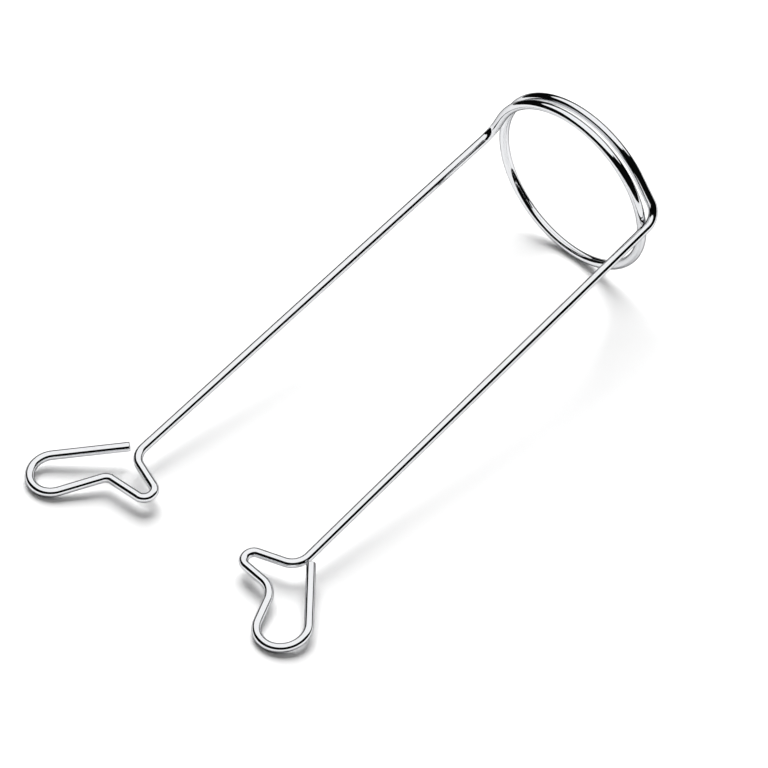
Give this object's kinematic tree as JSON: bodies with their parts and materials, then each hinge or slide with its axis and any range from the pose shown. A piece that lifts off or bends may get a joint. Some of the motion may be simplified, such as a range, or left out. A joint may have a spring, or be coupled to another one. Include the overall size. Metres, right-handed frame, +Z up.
{
  "type": "bent wire form",
  "caption": "Bright steel wire form: an open coil with two long sloping arms that end in foot-shaped loops with cut ends.",
  "frame": {"origin": "the point on the floor where the foot of the coil stands", "axes": "+Z up from the floor, +Y from the feet towards the coil, +X from the left arm to the right arm"},
  "size_m": [0.1003, 0.1709, 0.0546],
  "materials": {
    "bright_steel": "polished"
  },
  "bodies": {
    "root": {"wire_form": "bright_steel"}
  },
  "joints": []
}
